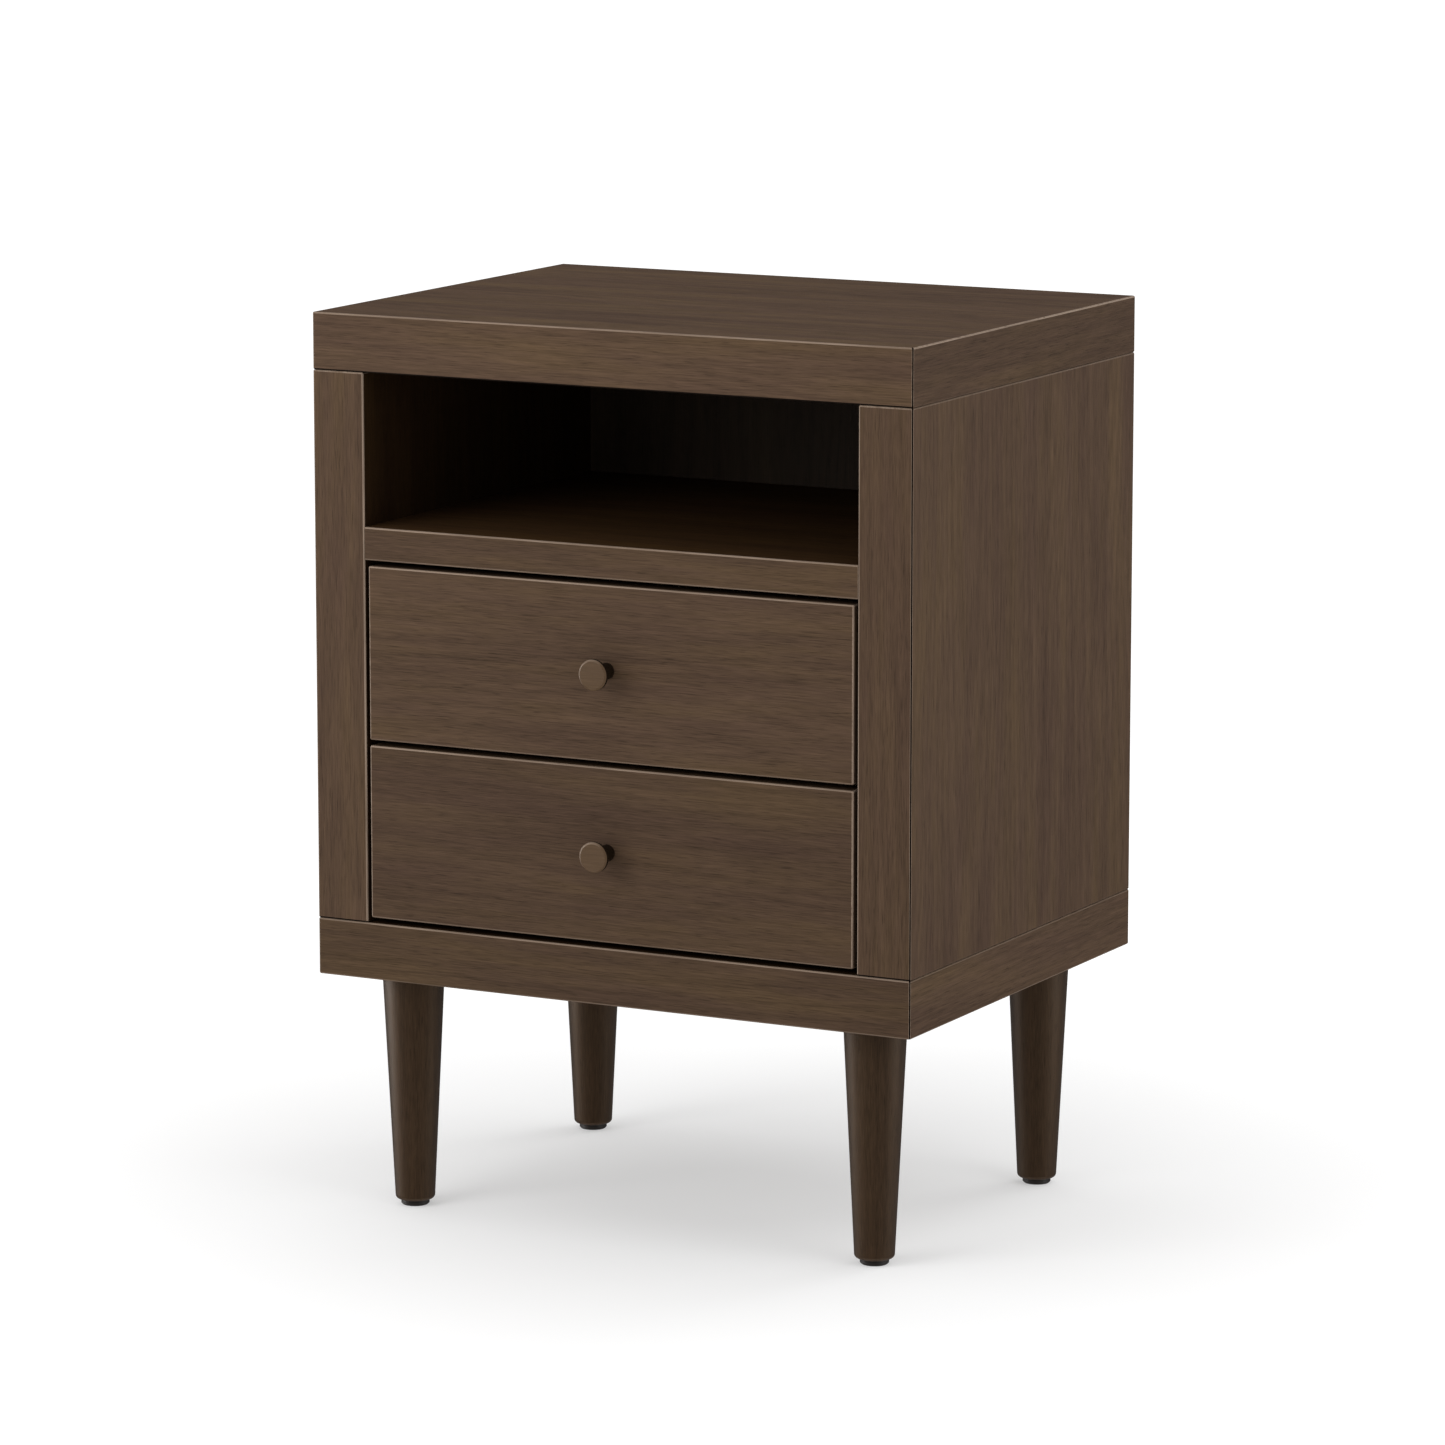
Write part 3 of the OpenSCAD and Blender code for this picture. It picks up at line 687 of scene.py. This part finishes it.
def make_materials():
    return {
        "walnut": walnut_veneer(),
        "walnut_turned": turned_walnut(),
        "knob_wood": knob_walnut(),
        "back_board": back_board(),
        "box_beech": beech(),
        "box_plywood": plywood(),
        "dowel_beech": dowel_beech(),
        "runner_steel": rolled_steel(),
        "zinc_screws": zinc_plate(),
        "bearing_steel": polished_balls(),
        "bumper_rubber": rubber(),
        "glide_plastic": glide_plastic(),
    }


# ---- Pieces ----

def place_piece(piece, node):
    """Gives a finished piece the material for its node's slot and its node's body, and hides the node."""
    slot = SLOT_OF[node]
    piece.data.materials.clear()
    piece.data.materials.append(MATERIALS[slot])
    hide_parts(node)
    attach(piece, BODY_OF[node])


def cut_from_cad(piece, node):
    """Cuts the node's bores, grooves and dovetails in a piece of the same outer size."""
    combine(piece, closed_copy(node), "INTERSECT")


def corner_seam(piece, corner_x):
    """Cuts the seam down a front corner of the case, over the whole height of the piece."""
    lo, hi = (Vector(c) for c in (piece.bound_box[0], piece.bound_box[6]))
    side = math.copysign(1, corner_x)
    inward = Vector((-side, 1)).normalized()
    across = Vector((side, 1)).normalized()
    corner = Vector((corner_x, lo.y))
    half = [corner + inward * depth + across * width for depth, width in SEAM]
    other = [corner + inward * depth - across * width for depth, width in reversed(SEAM)]
    combine(piece, prism("seam.cutter", half + other, lo.z - MM, hi.z + MM), "DIFFERENCE")


def veneered_board(node, seed, grain, tone, seams=(), joints=(), shades=None, wear_and_light_scale=1.0):
    """A board with rounded edges, a seam down the front corners at the seams' x, and square side joints."""
    lo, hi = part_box(node)
    sideways = [face for face in joints if face[0] == X]
    piece = rounded_box(node + "_veneered", lo, hi, BOARD_EDGE, sideways)
    cut_from_cad(piece, node)
    for corner_x in seams:
        corner_seam(piece, corner_x)
    tidy_mesh(piece)
    # Its edges turn pale from rubbing and painted highlight, with painted shade in the seams and over joints
    mark_finish_and_painted_light(piece, seed, grain, lambda face: wear_and_light_scale * edge_wear_and_painted_light(face, lo, hi, joints), tone, shades=shades)
    smooth(piece)
    place_piece(piece, node)


def case_boards():
    """The top, base, sides and shelf: grain runs across the top and base, and up the sides."""
    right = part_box("top_panel")[1].x
    across = (Y, X, X)
    up = (Z, Z, Y)
    above, below, rightward, leftward = (Z, 1), (Z, -1), (X, 1), (X, -1)
    corners = (-right, right)
    # Faces inside the case get painted shade. The top, the case's sides and the base's side edges are
    # painted lighter, and the top's side edges darker
    top_shades = {above: TOP_FACE_PAINTED_LIGHT, below: INSIDE_PAINTED_SHADE, leftward: TOP_SIDE_EDGE_PAINTED_SHADE, rightward: TOP_SIDE_EDGE_PAINTED_SHADE}
    base_shades = {above: INSIDE_PAINTED_SHADE, leftward: BASE_SIDE_EDGE_PAINTED_LIGHT, rightward: BASE_SIDE_EDGE_PAINTED_LIGHT}
    left_shades = {rightward: INSIDE_WALL_PAINTED_SHADE, leftward: CASE_SIDE_PAINTED_LIGHT}
    right_shades = {leftward: INSIDE_WALL_PAINTED_SHADE, rightward: CASE_SIDE_PAINTED_LIGHT}
    veneered_board("top_panel", CASE_SEED, across, TONE_AND_PAINTED_SHADE["top"], corners, [below], top_shades)
    veneered_board("base_panel", CASE_SEED + 1, across, TONE_AND_PAINTED_SHADE["base"], corners, [above], base_shades)
    ends = [above, below]
    veneered_board("left_side_panel", CASE_SEED + 2, up, TONE_AND_PAINTED_SHADE["left"], corners[:1], ends, left_shades)
    veneered_board("right_side_panel", CASE_SEED + 3, up, TONE_AND_PAINTED_SHADE["right"], corners[1:], ends, right_shades)
    # The shelf gets painted shade above and below, and paler edges with more painted highlight
    shelf_shades = {above: SHELF_TOP_PAINTED_SHADE, below: INSIDE_PAINTED_SHADE}
    ends = [leftward, rightward]
    veneered_board("cubby_shelf", CASE_SEED + 4, across, TONE_AND_PAINTED_SHADE["shelf"], (), ends, shelf_shades, SHELF_WEAR_AND_HIGHLIGHT_SCALE)


def rear_board():
    lo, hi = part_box("back_panel")
    piece = rounded_box("back_panel_stained", lo, hi, BACK_EDGE)
    mark_finish_and_painted_light(piece, BACK_SEED, (Z, Z, X), lambda face: edge_wear_and_painted_light(face, lo, hi))
    smooth(piece)
    place_piece(piece, "back_panel")


def drawer_fronts():
    for seed, level in enumerate(LEVELS, FRONT_SEED):
        veneered_board(level + "_drawer_front", seed, (Z, X, X), TONE_AND_PAINTED_SHADE[level])


def solid_near(node, place):
    """The box of the one of a node's separate solids that is in the leg at a place."""
    points = [v.co for v in frame["nodes"][node].data.vertices]
    near = np.array([p for p in points if (p.xy - place.xy).length < LEG_REACH])
    return Vector(near.min(0)), Vector(near.max(0))


def turned_leg(node, seed):
    """A tapered leg with a rounded foot, bored for its hanger bolt and for the glide's nail."""
    lo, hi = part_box(node)
    middle = (lo + hi) / 2
    foot_r = LEG_FOOT_D / 2 - FOOT_ROUND
    top_r = (hi.x - lo.x) / 2
    height = hi.z - lo.z
    bolt_lo, bolt_hi = solid_near("leg_hanger_bolts", middle)
    bolt_r = (bolt_hi.x - bolt_lo.x) / 2 + BORE_FIT
    bolt_end = bolt_lo.z - lo.z
    nail_end = solid_near("foot_glides", middle)[1].z - lo.z
    nail_r = NAIL_R + BORE_FIT
    outline = [(0, nail_end), (nail_r, nail_end), (nail_r, 0)]
    outline += arc((foot_r, FOOT_ROUND), FOOT_ROUND, -90, 0, FOOT_STEPS)
    outline += arc((top_r - LEG_TOP_EDGE, height - LEG_TOP_EDGE), LEG_TOP_EDGE, 0, 90, EDGE_STEPS)
    outline += [(bolt_r, height), (bolt_r, bolt_end), (0, bolt_end)]
    piece = lathe(node + "_turned", outline, Vector((middle.x, middle.y, lo.z)), (0, 0, 1))
    least, most = LEG_ROUNDING
    mark_finish_and_painted_light(piece, seed, (Z, Z, Z), lambda face: least < abs(face.normal.z) < most, solid=True)
    smooth(piece)
    place_piece(piece, node)


def rim_wear_and_highlight(face):
    """How pale a face of a knob is, from rubbing and a painted highlight: only its chamfer, and most at the
    upper left.
    """
    least, most = KNOB_CHAMFER_LEAN
    if not least < face.normal.y < most:
        return 0
    return min(1, max(0, face.normal.z - face.normal.x))


def turned_knob(level, seed):
    """A round knob: a flared waist, a rim, and a chamfered flat face, bored for its screw."""
    node = level + "_knob"
    lo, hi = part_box(node)
    radius = (hi.x - lo.x) / 2
    out = hi.y - lo.y
    root = KNOB_ROOT_D / 2
    waist = out - KNOB_RIM
    bore = KNOB_SCREW_R + BORE_FIT
    bore_end = hi.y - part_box(node + "_screw")[0].y
    turns = [math.radians(90 * i / KNOB_FLARE_STEPS) for i in range(KNOB_FLARE_STEPS + 1)]
    outline = [(0, bore_end), (bore, bore_end), (bore, 0)]
    outline += [(radius - (radius - root) * math.cos(a), waist * math.sin(a)) for a in turns]
    outline += [(radius, out - KNOB_CHAMFER_RISE - KNOB_EDGE / 2)]
    outline += [(radius - KNOB_EDGE / 4, out - KNOB_CHAMFER_RISE)]
    outline += [(radius - KNOB_CHAMFER, out - KNOB_EDGE / 4), (radius - KNOB_CHAMFER - KNOB_EDGE / 2, out)]
    outline += [(0, out)]
    middle = (lo + hi) / 2
    piece = lathe(node + "_turned", outline, Vector((middle.x, hi.y, middle.z)), (0, -1, 0))
    # The waist and rim of the knob get painted shade
    round_side_painted_shade = {(axis, side): KNOB_SIDE_PAINTED_SHADE for axis in (X, Z) for side in (-1, 1)}
    mark_finish_and_painted_light(piece, seed, (X, X, X), rim_wear_and_highlight, solid=True, shades=round_side_painted_shade)
    smooth(piece)
    place_piece(piece, node)


def drawer_box(level, seed):
    """The dovetailed sides, front and back of a drawer, of solid beech with eased edges."""
    parts = [("box_left_side", Y), ("box_right_side", Y), ("box_front", X), ("box_back", X)]
    for i, (part, axis) in enumerate(parts):
        node = level + "_" + part
        lo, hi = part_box(node)
        piece = rounded_box(node + "_dovetailed", lo, hi, BOX_EDGE)
        cut_from_cad(piece, node)
        tidy_mesh(piece)
        ends = {(axis, side): END_GRAIN for side in (-1, 1)}
        grain = (axis, axis, axis)
        mark_finish_and_painted_light(piece, seed + i, grain, lambda face: edge_wear_and_painted_light(face, lo, hi), solid=True, shades=ends)
        smooth(piece)
        place_piece(piece, node)


def dress_hardware():
    """Gives every node that still shows a better material, by its own slot."""
    for node, thing in frame["nodes"].items():
        if thing.hide_render:
            continue
        thing.data.materials.clear()
        thing.data.materials.append(MATERIALS[SLOT_OF[node]])


# ---- Studio ----

def pale_floor():
    """A plain white sweep that glows a little, about half as much under the object as away from it: a
    painted shadow.
    """
    bm = bmesh.new()
    bmesh.ops.create_circle(bm, cap_ends=True, segments=FLOOR_SEGMENTS, radius=FLOOR_R)
    floor = object_from(bm, "floor")
    floor.location.z = FLOOR_Z
    floor.visible_glossy = False
    s = Shader("pale floor")
    dust = s.noise(s.place(), (40, 40, 40), 3.0, 0.6)
    paint = s.ramp(dust, [(0.0, (FLOOR_TONE,) * 3), (1.0, (FLOOR_TONE * FLOOR_SPOTS,) * 3)])
    x, y, _ = s.split(s.place())
    away = s.math("SQRT", s.math("ADD", s.math("POWER", x, 2.0), s.math("POWER", y, 2.0)))
    # The floor glows less near the object: a painted shadow under it
    growth = s.math("MULTIPLY", s.window(away, *PAINTED_SHADOW_REACH), FLOOR_GLOW_FAR - FLOOR_GLOW_IN_PAINTED_SHADOW)
    glow_with_painted_shadow = s.math("ADD", growth, FLOOR_GLOW_IN_PAINTED_SHADOW)
    s.finish(Base_Color=paint, Roughness=s.total(0.9, (dust, 0.05)), Specular_IOR_Level=0.0,
             Emission_Color=(1, 1, 1, 1), Emission_Strength=glow_with_painted_shadow)
    floor.data.materials.append(s.material)


def soft_sky():
    """Even light from all round: white behind the object, and dimmer in reflections."""
    world = bpy.data.worlds.new("studio")
    bpy.context.scene.world = world
    world.use_nodes = True
    nodes, links = world.node_tree.nodes, world.node_tree.links
    back = nodes["Background"]
    rays = nodes.new("ShaderNodeLightPath")
    glossy = nodes.new("ShaderNodeMix")
    glossy.inputs["A"].default_value = SKY_LIGHT
    glossy.inputs["B"].default_value = SKY_GLOSS
    links.new(rays.outputs["Is Glossy Ray"], glossy.inputs["Factor"])
    seen = nodes.new("ShaderNodeMix")
    seen.inputs["B"].default_value = SKY_SEEN
    links.new(rays.outputs["Is Camera Ray"], seen.inputs["Factor"])
    links.new(glossy.outputs["Result"], seen.inputs["A"])
    links.new(seen.outputs["Result"], back.inputs["Strength"])
    back.inputs["Color"].default_value = (1, 1, 1, 1)


def toward(azimuth, elevation):
    """The direction from the object to something at that azimuth from the front and elevation."""
    a, e = math.radians(azimuth), math.radians(elevation)
    return Vector((math.sin(a) * math.cos(e), -math.cos(a) * math.cos(e), math.sin(e)))


def aimed(thing, where, target):
    thing.location = where
    thing.rotation_euler = (where - target).to_track_quat("Z", "Y").to_euler()


def softbox(name, azimuth, elevation, distance, size, share, lights_up=True):
    """A square light that gives share of full light to a surface facing it at the object's middle.

    With lights_up off it only shows in reflections, as a white card does.
    """
    lamp = bpy.data.lights.new(name, "AREA")
    lamp.shape = "SQUARE"
    lamp.size = size
    lamp.energy = share * math.pi ** 2 * distance ** 2
    thing = bpy.data.objects.new(name, lamp)
    bpy.context.scene.collection.objects.link(thing)
    thing.visible_camera = False
    thing.visible_diffuse = lights_up
    aimed(thing, MIDDLE + toward(azimuth, elevation) * distance, MIDDLE)


def make_camera():
    lens = bpy.data.cameras.new("camera")
    lens.sensor_width = SENSOR
    lens.lens = LENS
    lens.clip_end = 4 * FLOOR_R
    camera = bpy.data.objects.new("camera", lens)
    bpy.context.scene.collection.objects.link(camera)
    top_lo, top_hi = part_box("top_panel")
    aim = Vector((0, (top_lo.y + top_hi.y) / 2, MIDDLE.z)) + Vector(AIM_OFFSET)
    aimed(camera, aim + toward(CAMERA_AZIMUTH, CAMERA_ELEVATION) * CAMERA_DISTANCE, aim)
    bpy.context.scene.camera = camera


MATERIALS = make_materials()
case_boards()
rear_board()
drawer_fronts()
for number, (end, hand) in enumerate((e, h) for e in ENDS for h in HANDS):
    turned_leg(f"{end}_{hand}_leg", LEG_SEED + number)
for number, level in enumerate(LEVELS):
    turned_knob(level, KNOB_SEED + number)
    drawer_box(level, BOX_SEED + SEEDS_A_BOX * number)
dress_hardware()

pale_floor()
soft_sky()
for name, placing in LIGHTS.items():
    softbox(name, *placing)
for name, placing in CARDS.items():
    softbox(name, *placing, lights_up=False)
make_camera()
bpy.context.scene.view_settings.view_transform = "Standard"
